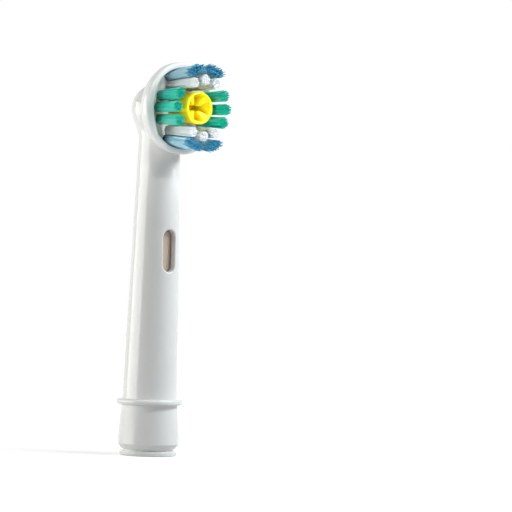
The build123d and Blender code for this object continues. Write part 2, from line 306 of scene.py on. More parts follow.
window_rings = [[Vector((0, -2 * neck_foot_radius, window_z))], window_ring(2 * window_edge, -MM)]
for k in range(window_edge_steps + 1):
    turn = pi / 2 * k / window_edge_steps
    window_rings.append(window_ring(window_edge * (1 - sin(turn)), window_edge * (1 - cos(turn))))
window_rings += [window_ring(0, window_cut_depth), [Vector((0, -neck_foot_radius / 4, window_z))]]
relief_front = neck_surface(0, window_z) - window_wall
relief_outline = stadium(window_length + 2 * window_relief, window_width + 2 * window_relief)
relief_rings = [[Vector((0, -relief_front, window_z))]]
for forward in (relief_front, neck_bore_radius / 3):
    relief_rings.append([Vector((x, -forward, window_z + z)) for x, z in relief_outline])
relief_rings.append([Vector((0, -neck_bore_radius / 3, window_z))])
cut(neck_housing, [
    skin("bore_cutter", turned(bore, about_handle)),
    skin("hub_cutter", turned(hub_room, about_disc, 96)),
    skin("relief_cutter", relief_rings),
    skin("window_cutter", window_rings),
])
smooth(neck_housing)


class Wire:
    """An output socket of a node tree. Sums written on it add Math nodes to the same tree."""

    def __init__(self, socket):
        self.socket = socket
        self.tree = socket.id_data

    @classmethod
    def node(cls, tree, kind, settings, values, output=None):
        """Adds a node: its settings first, then a value or link for each named socket."""
        node = tree.nodes.new(kind)
        for name, value in settings.items():
            setattr(node, name, value)
        for name, value in values.items():
            if isinstance(name, int):
                target = node.inputs[name]
            else:
                target = next(s for s in node.inputs if s.enabled and s.name == name)
            if isinstance(value, cls):
                tree.links.new(value.socket, target)
            else:
                target.default_value = value
        live = [s for s in node.outputs if s.enabled and output in (None, s.name)]
        return cls(live[0]) if live else node

    def other(self, name):
        """Another output of the node that this one belongs to."""
        return Wire(next(s for s in self.socket.node.outputs if s.enabled and s.name == name))

    def maths(self, operation, first, second):
        return Wire.node(self.tree, "ShaderNodeMath", {"operation": operation}, {0: first, 1: second})

    def __add__(self, value):
        return self.maths("ADD", self, value)

    def __radd__(self, value):
        return self.maths("ADD", value, self)

    def __sub__(self, value):
        return self.maths("SUBTRACT", self, value)

    def __rsub__(self, value):
        return self.maths("SUBTRACT", value, self)

    def __mul__(self, value):
        return self.maths("MULTIPLY", self, value)

    def __rmul__(self, value):
        return self.maths("MULTIPLY", value, self)

    def __pow__(self, value):
        return self.maths("POWER", self, value)


def finish_material(name, values):
    """New material, its tree and its Principled shader, with the constant values set."""
    material = bpy.data.materials.new(name)
    material.use_nodes = True
    shader = material.node_tree.nodes["Principled BSDF"]
    for socket, value in values.items():
        shader.inputs[socket].default_value = value
    return material, material.node_tree, shader


def moulded_plastic(name, colour, roughness, glow, glow_depth, speckle=500):
    """Moulded plastic that lets some light in, with faint clouds, uneven polish and orange peel."""
    material, tree, shader = finish_material(name, {
        "IOR": 1.5,
        "Subsurface Weight": glow,
        "Subsurface Radius": (1.0, 0.75, 0.6),
        "Subsurface Scale": glow_depth,
    })
    place = Wire.node(tree, "ShaderNodeTexCoord", {}, {}, "Object")
    cloud = Wire.node(tree, "ShaderNodeTexNoise", {}, {"Vector": place, "Scale": speckle / 3, "Detail": 3.0})
    peel = Wire.node(tree, "ShaderNodeTexNoise", {}, {"Vector": place, "Scale": speckle * 3, "Detail": 2.0})
    shade = Wire.node(
        tree,
        "ShaderNodeMix",
        {"data_type": "RGBA"},
        {0: cloud, 6: (*[c * 0.965 for c in colour], 1), 7: (*colour, 1)},
        "Result",
    )
    bump = Wire.node(tree, "ShaderNodeBump", {}, {"Strength": 0.06, "Distance": 0.02 * MM, "Height": peel})
    tree.links.new(shade.socket, shader.inputs["Base Color"])
    tree.links.new((cloud * 0.1 + (roughness - 0.05)).socket, shader.inputs["Roughness"])
    tree.links.new(bump.socket, shader.inputs["Normal"])
    return material


housing_finish = moulded_plastic("gloss_white_moulding", (0.87, 0.87, 0.858), 0.11, 0.2, 0.6 * MM)
neck_housing.data.materials.append(housing_finish)
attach(neck_housing, "neck")
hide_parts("neck_housing")

# Base insert: the white sleeve pushed into the skirt, moulded in the same plastic. Its lip shows
# below the skirt across a narrow groove, and its bore with a key groove takes the handle.
insert_radius = 4.5 * MM
lip_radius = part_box("base_insert")[1].x
lip_z = 0.9 * MM
lip_edge = 0.22 * MM
groove_radius = 4.8 * MM
snap_rib_z = 6.0 * MM
snap_rib_reach = 0.3 * MM
socket_radius = 3.7 * MM
socket_top_z = 11.2 * MM
insert_hole_radius = 2.6 * MM
key_width = 1.4 * MM
key_depth = 0.45 * MM
insert_corners = [
    (socket_radius, 0, lip_edge),
    (lip_radius, 0, lip_edge),
    (lip_radius, lip_z, lip_edge),
    (groove_radius, lip_z, 0),
    (groove_radius, skirt_foot_z, 0),
    (insert_radius, skirt_foot_z, 0),
    (insert_radius, snap_rib_z - snap_rib_reach, 0),
    (insert_radius + snap_rib_reach, snap_rib_z, 0),
    (insert_radius, snap_rib_z + snap_rib_reach, 0),
    (insert_radius, insert_top_z, 0),
    (insert_hole_radius, insert_top_z, 0),
    (insert_hole_radius, socket_top_z, 0),
    (socket_radius, socket_top_z, 0),
]
base_insert = skin("base_insert_sleeve", turned(rounded(insert_corners), about_handle), closed=True)


def block(name, low, high):
    """Plain box cutter between two corners."""
    rings = []
    for z in (low[2], high[2]):
        rings.append([Vector((x, y, z)) for x, y in (
            (low[0], low[1]), (high[0], low[1]), (high[0], high[1]), (low[0], high[1])
        )])
    middle = (Vector(low) + Vector(high)) / 2
    first = [Vector((middle.x, middle.y, low[2]))]
    last = [Vector((middle.x, middle.y, high[2]))]
    return skin(name, [first, *rings, last])


key_back = socket_radius + key_depth
cut(base_insert, [block("key_cutter", (-key_width / 2, 0, -MM), (key_width / 2, key_back, socket_top_z))])
smooth(base_insert)
insert_finish = moulded_plastic("satin_white_moulding", (0.86, 0.858, 0.845), 0.18, 0.2, 0.6 * MM)
base_insert.data.materials.append(insert_finish)
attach(base_insert, "neck")
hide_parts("base_insert")

# Drive shaft: an off-white moulded tube that shows through the window, coloured a darker, warmer cream as
# painted shade, for it lies in shadow there. The handle's spindle pushes up into its foot, which two slits
# let spring open, and it turns to and fro in the neck.
collar_low, collar_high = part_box("drive_shaft")
collar_radius = collar_high.y
collar_z = collar_low.z
collar_height = 1.2 * MM
collar_top_z = collar_z + collar_height
shaft_foot_radius = 3.35 * MM
shaft_step_z = 45.0 * MM
shaft_step_radius = 3.52 * MM
rod_radius = 2.3 * MM
pilot_radius = 2.1 * MM
pilot_depth = 6.0 * MM
spindle_radius = 1.6 * MM
spindle_flat = 1.15 * MM
spindle_depth = 25.0 * MM
spindle_steps = 48
slit_width = 0.7 * MM
slit_depth = 7.0 * MM
shaft_corners = [
    (0, collar_z, 0),
    (collar_radius, collar_z, soft_edge),
    (collar_radius, collar_top_z, soft_edge),
    (shaft_foot_radius, collar_top_z, soft_edge),
    (shaft_step_radius, shaft_step_z, soft_edge / 2),
    (rod_radius, shaft_step_z, 0),
    (rod_radius, collar_high.z, soft_edge),
    (0, collar_high.z, 0),
]
drive_shaft = skin("drive_shaft_tube", turned(rounded(shaft_corners), about_handle, 96))
pilot = [
    (0, collar_z - MM),
    (pilot_radius, collar_z - MM),
    (pilot_radius, collar_z + pilot_depth),
    (0, collar_z + pilot_depth),
]
flat_half = np.arccos(spindle_flat / spindle_radius)
spindle_outline = []
for k in range(spindle_steps + 1):
    angle = pi / 2 + flat_half + (2 * pi - 2 * flat_half) * k / spindle_steps
    spindle_outline.append((spindle_radius * cos(angle), spindle_radius * sin(angle)))
spindle_rings = [[Vector((0, 0, collar_z))]]
for z in (collar_z, collar_z + spindle_depth):
    spindle_rings.append([Vector((x, y, z)) for x, y in spindle_outline])
spindle_rings.append([Vector((0, 0, collar_z + spindle_depth))])
slit_half = Vector((1.2 * collar_radius, slit_width / 2))
cut(drive_shaft, [
    skin("pilot_cutter", turned(pilot, about_handle, 64)),
    skin("spindle_cutter", spindle_rings),
    block("slit_cutter", (-slit_half.x, -slit_half.y, collar_z - MM), (*slit_half, collar_z + slit_depth)),
])
smooth(drive_shaft)
# Painted shade: the shaft is coloured darker and warmer than its off-white plastic, as it sits in shadow
# behind the window.
shaft_finish = moulded_plastic("cream_moulding_painted_shade", (0.66, 0.5, 0.41), 0.45, 1.0, 4.0 * MM)
drive_shaft.data.materials.append(shaft_finish)
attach(drive_shaft, "drive")
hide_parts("drive_shaft")

# Crank and axle pins: turned steel. The crank is pressed off-centre into the top of the shaft and
# its ball swings the brush, which turns on the headed axle pressed into the ball of the housing.


def turned_steel(name, lines=9000):
    """Bright steel with fine turning marks round its length."""
    material, tree, shader = finish_material(name, {"Metallic": 1.0})
    place = Wire.node(tree, "ShaderNodeTexCoord", {}, {}, "Object")
    marks = Wire.node(tree, "ShaderNodeTexNoise", {}, {"Vector": place, "Scale": lines, "Detail": 2.0})
    tone = Wire.node(
        tree,
        "ShaderNodeMix",
        {"data_type": "RGBA"},
        {0: marks, 6: (0.5, 0.51, 0.53, 1), 7: (0.68, 0.69, 0.7, 1)},
        "Result",
    )
    tree.links.new(tone.socket, shader.inputs["Base Color"])
    tree.links.new((marks * 0.2 + 0.2).socket, shader.inputs["Roughness"])
    return material


pin_steel = turned_steel("turned_steel")
for node in ("crank_pin", "axle_pin"):
    frame["nodes"][node].data.materials.clear()
    frame["nodes"][node].data.materials.append(pin_steel)

# Bristle carrier: the round white head, moulded in one piece with a rounded bowl behind, a raised
# rim in front and a hub that sits on the axle. The tufts stand in its holes and the cup in its middle.
carrier_low, carrier_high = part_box("bristle_carrier")
hub_back = carrier_high.y
hub_radius = 2.45 * MM
rim_forward = -carrier_low.y
rim_width = 1.05 * MM
rim_edge = 0.42 * MM
rim_steps = 6
rim_least_inset = 0.13 * MM
rim_side_inset = 0.65 * MM
rim_side_start = 0.7
rim_side_blend = 0.27
recess_radius = carrier_radius - rim_width
recess_depth = 1.2 * MM
disc_forward = rim_forward - recess_depth
carrier_axle_radius = 0.84 * MM
stem_seat_radius = 1.92 * MM
stem_seat_forward = 4.45 * MM
hole_depth = 2.0 * MM
hole_gap = 0.02 * MM
crank_slot_half = 0.63 * MM
crank_slot_back = 0.72 * MM
crank_slot_front = 2.36 * MM
crank_slot_top = 1.29 * MM
foot_angle = atan2(bowl_foot.y - bowl_centre.y, bowl_foot.x - bowl_centre.x)
edge_angle = atan2(bowl_edge.y - bowl_centre.y, bowl_edge.x - bowl_centre.x)
bowl_steps = 16
bowl_line = []
for k in range(bowl_steps + 1):
    angle = foot_angle + (edge_angle - foot_angle) * k / bowl_steps
    out = bowl_centre.y + bowl_radius * sin(angle)
    bowl_line.append(Vector((out, bowl_centre.x + bowl_radius * cos(angle))))
rim_corners = [
    (bowl_edge.y, bowl_edge.x, 0),
    (carrier_radius, rim_forward, rim_edge),
    (recess_radius, rim_forward, rim_edge),
    (recess_radius, disc_forward, soft_edge),
    (0, disc_forward, 0),
]
hub_corners = [
    (0, -hub_back, 0),
    (hub_radius, -hub_back, soft_edge / 2),
    (hub_radius, bowl_back, 0),
]
rim_outline = rounded(rim_corners, rim_steps)[1:]


def about_rim(radius, along, angle):
    """Place on the inner side of the rim, which is widest beside the green tufts."""
    side = min(1, max(0, (abs(cos(angle)) - rim_side_start) / rim_side_blend))
    inset = rim_least_inset + rim_side_inset * side * side * (3 - 2 * side)
    return about_disc(radius - inset if radius else 0, along, angle)


carrier_rings = turned(rounded(hub_corners) + bowl_line + rim_outline[:rim_steps + 1], about_disc)
carrier_rings += turned(rim_outline[rim_steps + 1:], about_rim)
bristle_carrier = skin("bristle_carrier_head", carrier_rings)
axle_seat = [
    (0, -hub_back - MM),
    (carrier_axle_radius, -hub_back - MM),
    (carrier_axle_radius, stem_seat_forward),
    (stem_seat_radius, stem_seat_forward),
    (stem_seat_radius, disc_forward + MM),
    (0, disc_forward + MM),
]

tuft_rings = {"green": 5.1 * MM, "white": 4.9 * MM, "blue": 6.6 * MM}
tuft_radii = {"green": 0.95 * MM, "white": 0.92 * MM, "blue": 0.7 * MM}
tuft_spreads = {"green": 0, "white": 0, "blue": 9.5}
tuft_sides = {"green": (0, 180), "white": (90, 270), "blue": (90, 270)}
tuft_steps = {"green": (-1, 0, 1), "white": (-1, 0, 1), "blue": (-1, 1)}
tuft_pitches = {"green": 25.5, "white": 30, "blue": 18.5}
tuft_places = {
    colour: [side + step * pitch for side in tuft_sides[colour] for step in tuft_steps[colour]]
    for colour, pitch in tuft_pitches.items()
}


def tuft_root(colour, place, grow=0, steps=10):
    """Outline of a tuft's root on the disc, as (across, up): round, or bent along its ring."""
    ring = tuft_rings[colour]
    radius = tuft_radii[colour] + grow
    first = radians(place - tuft_spreads[colour])
    last = radians(place + tuft_spreads[colour])
    outline = []
    for k in range(1, steps):
        angle = first + (last - first) * k / steps
        outline.append(((ring + radius) * cos(angle), (ring + radius) * sin(angle)))
    for k in range(steps + 1):
        angle = last + pi * k / steps
        outline.append((ring * cos(last) + radius * cos(angle), ring * sin(last) + radius * sin(angle)))
    for k in range(1, steps):
        angle = last + (first - last) * k / steps
        outline.append(((ring - radius) * cos(angle), (ring - radius) * sin(angle)))
    for k in range(steps + 1):
        angle = first + pi + pi * k / steps
        outline.append((ring * cos(first) + radius * cos(angle), ring * sin(first) + radius * sin(angle)))
    if first == last:
        outline = outline[steps - 1:2 * steps - 1] + outline[3 * steps - 1:4 * steps - 1]
    return outline


def hole_cutter(colour, place):
    """Prism that cuts the hole of one tuft into the disc."""
    outline = tuft_root(colour, place, hole_gap)
    across = sum(x for x, up in outline) / len(outline)
    high = sum(up for x, up in outline) / len(outline)
    floor, front = disc_forward - hole_depth, disc_forward + MM
    rings = [[Vector((across, -floor, head_z + high))]]
    for forward in (floor, front):
        rings.append([Vector((x, -forward, head_z + up)) for x, up in outline])
    rings.append([Vector((across, -front, head_z + high))])
    return skin("hole_cutter", rings)


cutters = [skin("axle_cutter", turned(axle_seat, about_disc, 64))]
cutters.append(block(
    "crank_cutter",
    (-crank_slot_half, -crank_slot_front, head_z - 1.2 * hub_radius),
    (crank_slot_half, -crank_slot_back, head_z - crank_slot_top),
))
for colour, places in tuft_places.items():
    cutters += [hole_cutter(colour, place) for place in places]
cut(bristle_carrier, cutters)
smooth(bristle_carrier)
carrier_finish = moulded_plastic("gloss_white_head", (0.875, 0.878, 0.872), 0.12, 0.2, 0.6 * MM)
bristle_carrier.data.materials.append(carrier_finish)
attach(bristle_carrier, "brush_disc")
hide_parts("bristle_carrier")

# Polishing cup: soft yellow elastomer, moulded in one piece and plugged into the middle of the disc.
# Four wedge-shaped vanes slope down from its wall towards the middle, which stays open.
cup_sides = 288
cup_rim = -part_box("polishing_cup")[0].y
cup_stem_radius = 1.9 * MM
cup_stem_length = 0.9 * MM
cup_stem_forward = disc_forward - cup_stem_length
cup_foot_radius = 2.7 * MM
cup_rim_radius = 3.1 * MM
cup_wall = 0.5 * MM
cup_edge = 0.26 * MM
cup_bore = cup_rim_radius - cup_wall
cup_depth = 4.2 * MM
cup_floor = cup_rim - cup_depth
cup_floor_radius = 1.9 * MM
vane_count = 4
vane_half = 18
vane_soft = 10
vane_tip_radius = 0.8 * MM
vane_top_drop = 0.25 * MM
vane_top = cup_rim - vane_top_drop
vane_tip_drop = 1.3 * MM
vane_tip = cup_rim - vane_tip_drop
vane_rings = 21
cup_outline = rounded([
    (0, cup_stem_forward, 0),
    (cup_stem_radius, cup_stem_forward, 0),
    (cup_stem_radius, disc_forward, 0),
    (cup_foot_radius, disc_forward, cup_edge / 2),
    (cup_rim_radius, cup_rim, cup_edge),
    (cup_bore, cup_rim, cup_edge),
    (cup_floor_radius, cup_floor, 0),
], 8)[:-1]
cup_rings = turned(cup_outline, about_disc, cup_sides)
wall_start = cup_outline[-1]
gap_line = [wall_start, (cup_floor_radius, cup_floor), (vane_tip_radius, cup_floor)]
vane_line = [wall_start, (cup_bore, vane_top), (vane_tip_radius, vane_tip), (vane_tip_radius, cup_floor)]
gap_stops = [0, 0.65, 1]
vane_stops = [0, 0.08, 0.65, 1]
angles = np.arange(cup_sides) * 360 / cup_sides
off_vane = np.abs((angles % (360 / vane_count)) - 180 / vane_count)
in_vane = np.clip((vane_half + vane_soft / 2 - off_vane) / vane_soft, 0, 1)
in_vane = in_vane * in_vane * (3 - 2 * in_vane)
for share in np.linspace(0, 1, vane_rings + 1)[1:]:
    gap = [np.interp(share, gap_stops, [point[i] for point in gap_line]) for i in (0, 1)]
    vane = [np.interp(share, vane_stops, [point[i] for point in vane_line]) for i in (0, 1)]
    ring = []
    for angle, weight in zip(angles, in_vane):
        radius = gap[0] + (vane[0] - gap[0]) * weight
        forward = gap[1] + (vane[1] - gap[1]) * weight
        ring.append(about_disc(radius, forward, radians(angle)))
    cup_rings.append(ring)
cup_rings.append([about_disc(0, cup_floor, 0)])
polishing_cup = skin("polishing_cup_elastomer", cup_rings)
smooth(polishing_cup, 50)


def soft_elastomer(name, outside, inside):
    """Soft moulded elastomer with a fine uneven skin, and painted shade that darkens the colour deeper inside
    the cup.
    """
    material, tree, shader = finish_material(name, {
        "IOR": 1.45,
        "Subsurface Weight": 0.9,
        "Subsurface Radius": (1.0, 0.8, 0.15),
        "Subsurface Scale": 2.0 * MM,
    })
    place = Wire.node(tree, "ShaderNodeTexCoord", {}, {}, "Object")
    depth = Wire.node(tree, "ShaderNodeSeparateXYZ", {}, {"Vector": place}, "Y")
    # Painted shade: the colour darkens from just below the rim down to the floor of the cup.
    sink = Wire.node(
        tree,
        "ShaderNodeMapRange",
        {"interpolation_type": "SMOOTHSTEP"},
        {"Value": depth, "From Min": -cup_rim + 0.4 * MM, "From Max": -cup_floor},
    )
    grain = Wire.node(tree, "ShaderNodeTexNoise", {}, {"Vector": place, "Scale": 2600.0, "Detail": 3.0})
    shade = Wire.node(
        tree,
        "ShaderNodeMix",
        {"data_type": "RGBA"},
        {0: sink * 0.85 + grain * 0.15, 6: (*outside, 1), 7: (*inside, 1)},
        "Result",
    )
    bump = Wire.node(tree, "ShaderNodeBump", {}, {"Strength": 0.12, "Distance": 0.02 * MM, "Height": grain})
    tree.links.new(shade.socket, shader.inputs["Base Color"])
    tree.links.new((grain * 0.15 + 0.3).socket, shader.inputs["Roughness"])
    tree.links.new(bump.socket, shader.inputs["Normal"])
    return material


# The second colour is the painted shade deep inside the cup.
cup_finish = soft_elastomer("yellow_elastomer", (0.86, 0.73, 0.012), (0.82, 0.64, 0.006))
polishing_cup.data.materials.append(cup_finish)
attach(polishing_cup, "brush_disc")
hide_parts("polishing_cup")

# Tufts: bundles of nylon filaments, folded and pressed into the holes of the disc, then cut and
# their tips rounded. Each fans out a little, and no two filaments stand quite alike.
filament_radii = {"green": 0.09 * MM, "white": 0.1 * MM, "blue": 0.085 * MM}
filament_spacings = {"green": 0.14 * MM, "white": 0.115 * MM, "blue": 0.145 * MM}
root_sink = 0.4 * MM
tuft_splays = {"green": 6.0, "white": 3.0, "blue": 6.0}
tuft_rags = {"green": 0.02, "white": 0.012, "blue": 0.05}
tuft_wanders = {"green": 0.09 * MM, "white": 0.05 * MM, "blue": 0.18 * MM}


def vectors(tree, operation, first, second):
    return Wire.node(tree, "ShaderNodeVectorMath", {"operation": operation}, {0: first, 1: second})


def filament_tree():
    """Geometry Nodes tree that stands filaments on a tuft's root, with its sizes as inputs."""
    tree = bpy.data.node_groups.new("tuft_of_filaments", "GeometryNodeTree")
    for name, kind in (
        ("Root", "NodeSocketGeometry"),
        ("Spacing", "NodeSocketFloat"),
        ("Filament Radius", "NodeSocketFloat"),
        ("Height", "NodeSocketFloat"),
        ("Flare", "NodeSocketFloat"),
        ("Disc Middle", "NodeSocketVector"),
        ("Unevenness", "NodeSocketFloat"),
        ("Wander", "NodeSocketFloat"),
        ("Seed", "NodeSocketInt"),
        ("Finish", "NodeSocketMaterial"),
    ):
        tree.interface.new_socket(name, in_out="INPUT", socket_type=kind)
    tree.interface.new_socket("Tuft", in_out="OUTPUT", socket_type="NodeSocketGeometry")
    root = Wire.node(tree, "NodeGroupInput", {}, {}, "Root")
    seed = root.other("Seed")
    points = Wire.node(
        tree,
        "GeometryNodeDistributePointsOnFaces",
        {"distribute_method": "POISSON"},
        {"Mesh": root, "Distance Min": root.other("Spacing"), "Density Max": 6e8, "Seed": seed},
        "Points",
    )

    # One filament: six sides, rings close together near its rounded tip
    rod = Wire.node(
        tree,
        "GeometryNodeMeshCylinder",
        {},
        {"Vertices": 6, "Side Segments": 5, "Radius": 1.0, "Depth": 1.0},
        "Mesh",
    )
    corner = Wire.node(tree, "GeometryNodeInputPosition", {}, {})
    across = Wire.node(tree, "ShaderNodeSeparateXYZ", {}, {"Vector": corner}, "X")
    level = across.other("Z") + 0.5
    along = 1 - (1 - level) ** 2.5
    tip = level.maths("MAXIMUM", (level - 0.6) * 2.5, 0)
    width = 1 - 0.55 * tip * tip
    bent = Wire.node(
        tree,
        "ShaderNodeCombineXYZ",
        {},
        {"X": across * width, "Y": across.other("Y") * width, "Z": along},
    )
    rod = Wire.node(
        tree,
        "GeometryNodeStoreNamedAttribute",
        {"data_type": "FLOAT", "domain": "POINT"},
        {"Geometry": rod, "Name": "along", "Value": along},
    )
    rod = Wire.node(tree, "GeometryNodeSetPosition", {}, {"Geometry": rod, "Position": bent})

    # The filaments lean away from the middle of the disc, each a little differently
    def draw(kind, low, high, step):
        return Wire.node(
            tree,
            "FunctionNodeRandomValue",
            {"data_type": kind},
            {"Min": low, "Max": high, "Seed": seed + step},
        )

    place = Wire.node(tree, "GeometryNodeInputPosition", {}, {})
    outward = vectors(tree, "SUBTRACT", place, root.other("Disc Middle"))
    lean = Wire.node(
        tree,
        "ShaderNodeVectorMath",
        {"operation": "SCALE"},
        {0: outward, "Scale": root.other("Flare") - 1},
    )
    straight = Wire.node(tree, "ShaderNodeCombineXYZ", {}, {"Y": 0 - root.other("Height")})
    aim = vectors(tree, "ADD", lean, straight)
    stray = Wire.node(
        tree,
        "ShaderNodeVectorMath",
        {"operation": "SCALE"},
        {0: draw("FLOAT_VECTOR", (-1, -1, -1), (1, 1, 1), 1), "Scale": root.other("Wander")},
    )
    aim = vectors(tree, "ADD", aim, stray)
    turn = Wire.node(tree, "FunctionNodeAlignRotationToVector", {"axis": "Z"}, {"Vector": aim})
    length = root.other("Height") * (1 - draw("FLOAT", 0.0, 1.0, 2) * root.other("Unevenness"))
    size = Wire.node(
        tree,
        "ShaderNodeCombineXYZ",
        {},
        {"X": root.other("Filament Radius"), "Y": root.other("Filament Radius"), "Z": length},
    )
    tuft = Wire.node(
        tree,
        "GeometryNodeInstanceOnPoints",
        {},
        {"Points": points, "Instance": rod, "Rotation": turn, "Scale": size},
    )
    for name, kind, value in (
        ("strand", "FLOAT", draw("FLOAT", 0.0, 1.0, 3)),
        ("bend", "FLOAT_VECTOR", draw("FLOAT_VECTOR", (-1, -0.3, -1), (1, 0.3, 1), 4)),
    ):
        tuft = Wire.node(
            tree,
            "GeometryNodeStoreNamedAttribute",
            {"data_type": kind, "domain": "INSTANCE"},
            {"Geometry": tuft, "Name": name, "Value": value},
        )
    tuft = Wire.node(tree, "GeometryNodeRealizeInstances", {}, {"Geometry": tuft})
    bend = Wire.node(tree, "GeometryNodeInputNamedAttribute", {"data_type": "FLOAT_VECTOR"}, {"Name": "bend"})
    rise = Wire.node(tree, "GeometryNodeInputNamedAttribute", {"data_type": "FLOAT"}, {"Name": "along"})
    sway = Wire.node(
        tree,
        "ShaderNodeVectorMath",
        {"operation": "SCALE"},
        {0: bend, "Scale": rise * rise * root.other("Wander")},
    )
    tuft = Wire.node(tree, "GeometryNodeSetPosition", {}, {"Geometry": tuft, "Offset": sway})
    tuft = Wire.node(tree, "GeometryNodeSetShadeSmooth", {}, {"Geometry": tuft})
    finish = root.other("Finish")
    tuft = Wire.node(tree, "GeometryNodeSetMaterial", {}, {"Geometry": tuft, "Material": finish})
    Wire.node(tree, "NodeGroupOutput", {}, {"Tuft": tuft})
    return tree


def nylon(name, unevenness, highlight_streaks, shaded_root_colour, middle_colour, tip_colour, shaded_root_end, tip_start):
    """Nylon filaments: painted shade darkening them towards the root, one colour along the middle and one at
    the tip, with streaky painted highlights along the bundle and some strands duller than others."""
    highlight_streak_scale = (1800, 50, 1800)
    highlight_paleness = 0.22
    strand_shift = 0.06
    tip_blend = 0.06
    material, tree, shader = finish_material(name, {
        "Specular IOR Level": 0.4,
        "Subsurface Weight": 0.7,
        "Subsurface Radius": (1.0, 1.0, 1.0),
        "Subsurface Scale": 0.5 * MM,
    })
    along = Wire.node(tree, "ShaderNodeAttribute", {"attribute_name": "along"}, {}, "Fac")
    strand = Wire.node(tree, "ShaderNodeAttribute", {"attribute_name": "strand"}, {}, "Fac")
    place = Wire.node(tree, "ShaderNodeTexCoord", {}, {}, "Object")
    mottle = Wire.node(tree, "ShaderNodeTexNoise", {}, {"Vector": place, "Scale": 1500.0, "Detail": 2.0})
    drawn_out = Wire.node(tree, "ShaderNodeMapping", {}, {"Vector": place, "Scale": highlight_streak_scale})
    highlight_noise = Wire.node(tree, "ShaderNodeTexNoise", {}, {"Vector": drawn_out, "Scale": 1.0, "Detail": 1.0})
    level = along + (strand - 0.5) * strand_shift

    def rising(low, high):
        return Wire.node(
            tree,
            "ShaderNodeMapRange",
            {"interpolation_type": "SMOOTHSTEP"},
            {"Value": level, "From Min": low, "From Max": high},
        )

    def mix(share, first, second):
        return Wire.node(
            tree,
            "ShaderNodeMix",
            {"data_type": "RGBA"},
            {0: share, 6: first, 7: second},
            "Result",
        )

    # Painted shade: the filaments darken towards the root, down in the recess of the disc.
    body = mix(rising(0.0, shaded_root_end), (*shaded_root_colour, 1), (*middle_colour, 1))
    # Painted highlight: pale bands drawn out along the bundle stand in for the gloss of the filaments.
    highlight_streak = Wire.node(tree, "ShaderNodeMapRange", {}, {"Value": highlight_noise, "From Min": 0.48, "From Max": 0.62})
    pale = [(1 - highlight_paleness) * c + highlight_paleness for c in middle_colour]
    body = mix(highlight_streak * highlight_streaks, body, (*pale, 1))
    body = mix(rising(tip_start, tip_start + tip_blend), body, (*tip_colour, 1))
    dim = (strand * 0.6 + mottle * 0.4) * unevenness
    body = mix(dim, body, (*[0.6 * c for c in middle_colour], 1))
    tree.links.new(body.socket, shader.inputs["Base Color"])
    tree.links.new((strand * 0.15 + 0.28).socket, shader.inputs["Roughness"])
    return material


filament_finish = {
    "green": nylon(
        "green_nylon",
        unevenness=0.35,
        highlight_streaks=0.7,
        shaded_root_colour=(0.0, 0.34, 0.25),
        middle_colour=(0.008, 0.66, 0.48),
        tip_colour=(0.0, 0.46, 0.32),
        shaded_root_end=0.2,
        tip_start=0.93,
    ),
    "white": nylon(
        "white_nylon",
        unevenness=0.08,
        highlight_streaks=0.0,
        shaded_root_colour=(0.88, 0.93, 0.96),
        middle_colour=(0.92, 0.98, 1.0),
        tip_colour=(0.92, 0.98, 1.0),
        shaded_root_end=0.3,
        tip_start=0.9,
    ),
    "blue": nylon(
        "blue_nylon",
        unevenness=0.35,
        highlight_streaks=0.6,
        shaded_root_colour=(0.01, 0.06, 0.28),
        middle_colour=(0.4, 0.8, 1.0),
        tip_colour=(0.005, 0.28, 0.52),
        shaded_root_end=0.3,
        tip_start=0.84,
    ),
}
tuft_nodes = filament_tree()
tuft_inputs = {item.name: item.identifier for item in tuft_nodes.interface.items_tree}
for colour, places in tuft_places.items():
    for number, place in enumerate(places, 1):
        node = f"{colour}_tuft_{number}"
        height = -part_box(node)[0].y - disc_forward
        reach = tuft_rings[colour]
        outline = tuft_root(colour, place, -filament_radii[colour])
        mesh = bpy.data.meshes.new(node + "_filaments")
        corners = [(x, root_sink - disc_forward, head_z + up) for x, up in outline]
        mesh.from_pydata(corners, [], [range(len(corners))])
        tuft = bpy.data.objects.new(node + "_filaments", mesh)
        bpy.context.scene.collection.objects.link(tuft)
        modifier = tuft.modifiers.new("filaments", "NODES")
        modifier.node_group = tuft_nodes
        for name, value in (
            ("Spacing", filament_spacings[colour]),
            ("Filament Radius", filament_radii[colour]),
            ("Height", height + root_sink),
            ("Flare", 1 + (height + root_sink) * tan(radians(tuft_splays[colour])) / reach),
            ("Disc Middle", (0, root_sink - disc_forward, head_z)),
            ("Unevenness", tuft_rags[colour]),
            ("Wander", tuft_wanders[colour]),
            ("Seed", 10 * number + len(colour)),
            ("Finish", filament_finish[colour]),
        ):
            modifier[tuft_inputs[name]] = value
        plain_mesh(tuft)
        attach(tuft, "brush_disc")
        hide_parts(node)
        "filament_" + colour

# Tuft anchors: thin brass strips punched through the fold of each tuft, down in the holes of the
# disc, where they bite into the plastic and hold the filaments.


def punched_brass(name):
    """Brass strip, dulled a little in patches."""
    material, tree, shader = finish_material(name, {"Metallic": 1.0})
    place = Wire.node(tree, "ShaderNodeTexCoord", {}, {}, "Object")
    patch = Wire.node(tree, "ShaderNodeTexNoise", {}, {"Vector": place, "Scale": 3000.0, "Detail": 4.0})
    tone = Wire.node(
        tree,
        "ShaderNodeMix",
        {"data_type": "RGBA"},
        {0: patch, 6: (0.6, 0.42, 0.17, 1), 7: (0.82, 0.64, 0.3, 1)},
        "Result",
    )
    tree.links.new(tone.socket, shader.inputs["Base Color"])
    tree.links.new((patch * 0.3 + 0.25).socket, shader.inputs["Roughness"])
    return material


frame["nodes"]["tuft_anchors"].data.materials.clear()
frame["nodes"]["tuft_anchors"].data.materials.append(punched_brass("punched_brass"))

